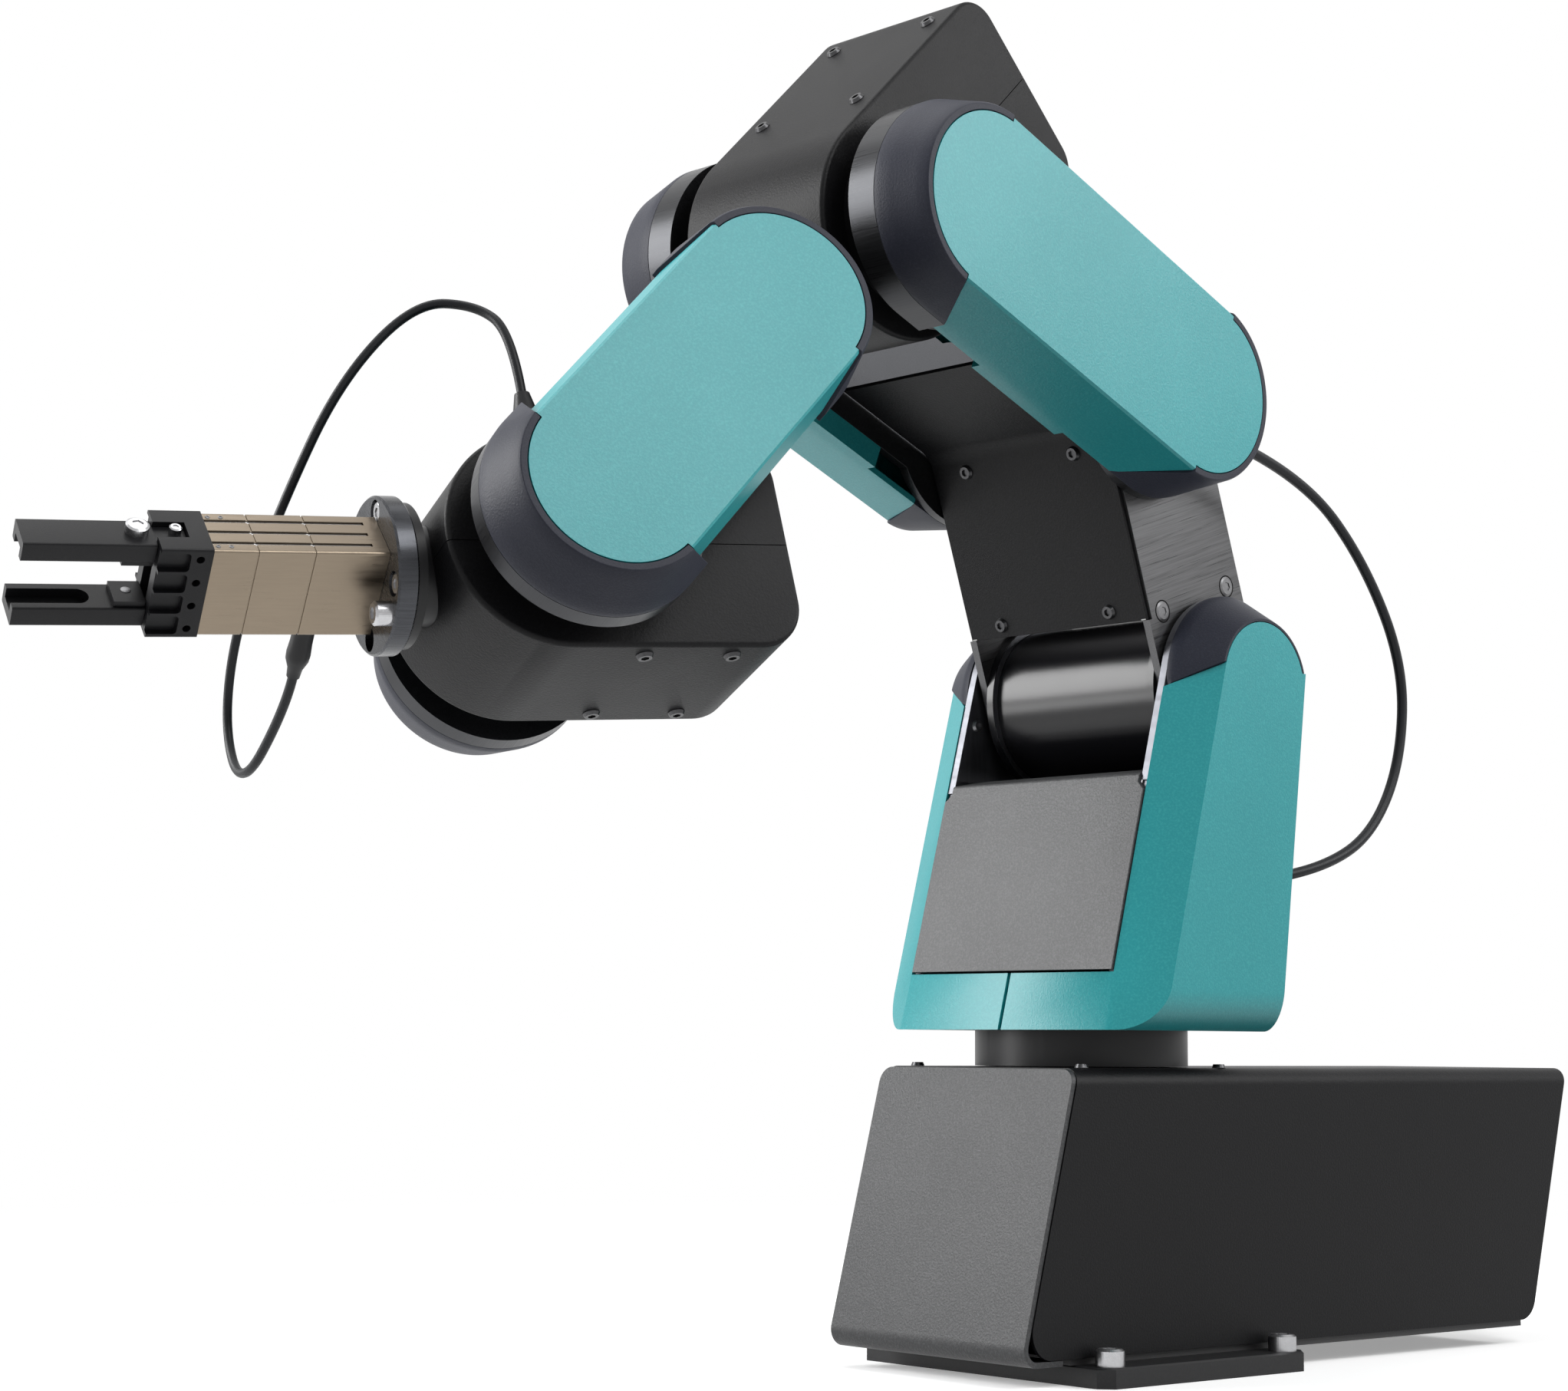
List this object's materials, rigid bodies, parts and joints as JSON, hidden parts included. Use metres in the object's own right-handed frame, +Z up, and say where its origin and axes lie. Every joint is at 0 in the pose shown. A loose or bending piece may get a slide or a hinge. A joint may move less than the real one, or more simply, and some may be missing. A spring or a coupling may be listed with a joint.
{
  "type": "six-axis robot arm",
  "caption": "Jointed bench robot arm with a boxed base, paired side pods at each joint and a two-finger electric gripper on its tool flange.",
  "frame": {"origin": "on the first axis at the underside of the base plate", "axes": "+X forward from the first axis towards the short front of the base, +Y left, +Z up along the first axis"},
  "size_m": [0.8354, 0.2286, 0.6163],
  "materials": {
    "plate_black": "black oxide steel",
    "sheet_grey": "powder coat",
    "cover_black": "textured powder coat",
    "front_grey": "textured powder coat",
    "screw_black": "blackened",
    "drive_black": "black anodised",
    "plate_silver": "brushed",
    "shell_teal": "fine texture",
    "cap_charcoal": "sintered",
    "drum_dark": "black anodised",
    "bracket_dark": "brushed",
    "flange_black": "anodised",
    "gripper_nickel": "nickel plated",
    "gripper_black": "anodised",
    "plug_black": "matte",
    "cord_black": "matte"
  },
  "bodies": {
    "base": {"base_plate": "plate_black", "base_pan": "sheet_grey", "base_cover": "cover_black", "base_front_plate": "front_grey", "base_rear_panel": "sheet_grey", "base_screws": "screw_black", "base_drive": "drive_black"},
    "column": {"turret": "drive_black", "column_front_cover": "front_grey", "column_rear_cover": "cover_black", "column_plate_left": "plate_silver", "column_plate_right": "plate_silver", "column_shell_left": "shell_teal", "column_shell_right": "shell_teal", "column_cap_left": "cap_charcoal", "column_cap_right": "cap_charcoal"},
    "lower_arm": {"arm_front_cover": "cover_black", "arm_rear_cover": "cover_black", "arm_screws": "screw_black", "shoulder_drum": "drum_dark", "arm_plate_left": "bracket_dark", "arm_plate_right": "bracket_dark", "elbow_bracket_left": "bracket_dark", "elbow_bracket_right": "bracket_dark", "arm_pod_left": "shell_teal", "arm_pod_right": "shell_teal", "elbow_cap_left": "cap_charcoal", "elbow_cap_right": "cap_charcoal", "arm_end_cap_left": "cap_charcoal", "arm_end_cap_right": "cap_charcoal", "rear_cable": "cord_black"},
    "elbow": {"elbow_housing_front": "cover_black", "elbow_housing_back": "cover_black", "elbow_axle": "drum_dark", "roll_drive": "drive_black", "elbow_screws": "screw_black"},
    "forearm": {"forearm_yoke": "drum_dark", "wrist_bracket_left": "bracket_dark", "wrist_bracket_right": "bracket_dark", "forearm_pod_left": "shell_teal", "forearm_pod_right": "shell_teal", "wrist_cap_left": "cap_charcoal", "wrist_cap_right": "cap_charcoal", "forearm_end_cap_left": "cap_charcoal", "forearm_end_cap_right": "cap_charcoal"},
    "wrist": {"wrist_housing_top": "cover_black", "wrist_housing_bottom": "cover_black", "wrist_axle": "drum_dark", "wrist_drive": "drive_black", "wrist_screws": "screw_black", "wrist_plug": "plug_black"},
    "tool": {"tool_flange": "flange_black", "adapter_disc": "flange_black", "gripper_body": "gripper_nickel", "gripper_head": "gripper_black", "gripper_connector": "plug_black", "gripper_cable": "cord_black"},
    "jaw_upper": {"jaw_upper": "gripper_black"},
    "jaw_lower": {"jaw_lower": "gripper_black"}
  },
  "joints": [
    {"name": "base_turn", "type": "hinge", "parent": "base", "child": "column", "pos_m": [0, 0, 0.138], "axis": [0, 0, 1], "range_deg": [-170, 165]},
    {"name": "shoulder", "type": "hinge", "parent": "column", "child": "lower_arm", "pos_m": [-0.03291, -0.00242, 0.3145], "axis": [-0.0732, 0.9973, 0], "range_deg": [-55, 35], "deforming": ["rear_cable"]},
    {"name": "elbow_pitch", "type": "hinge", "parent": "lower_arm", "child": "elbow", "pos_m": [0.16685, 0.01225, 0.5039], "axis": [0.0732, -0.9973, 0], "range_deg": [-35, 40]},
    {"name": "forearm_roll", "type": "hinge", "parent": "elbow", "child": "forearm", "pos_m": [0.16685, 0.01225, 0.5039], "axis": [0.7015, 0.0515, -0.7108], "range_deg": [-170, 170]},
    {"name": "wrist_pitch", "type": "hinge", "parent": "forearm", "child": "wrist", "pos_m": [0.33521, 0.02462, 0.33331], "axis": [0.2391, 0.9226, 0.3028], "range_deg": [-36, 140]},
    {"name": "tool_turn", "type": "hinge", "parent": "wrist", "child": "tool", "pos_m": [0.40269, 0.00862, 0.32877], "axis": [0.971, -0.2302, -0.0653], "range_deg": [-120, 120], "deforming": ["gripper_cable"]},
    {"name": "jaw_grip", "type": "slide", "parent": "tool", "child": "jaw_upper", "axis": [0.2071, 0.6717, 0.7113], "range_m": [-0.006, 0]},
    {"name": "jaw_follow", "type": "slide", "parent": "tool", "child": "jaw_lower", "axis": [0.2071, 0.6717, 0.7113], "range_m": [0, 0.006]}
  ],
  "couplings": [
    {"joint": "jaw_follow", "follows": "jaw_grip", "ratio": -1}
  ]
}
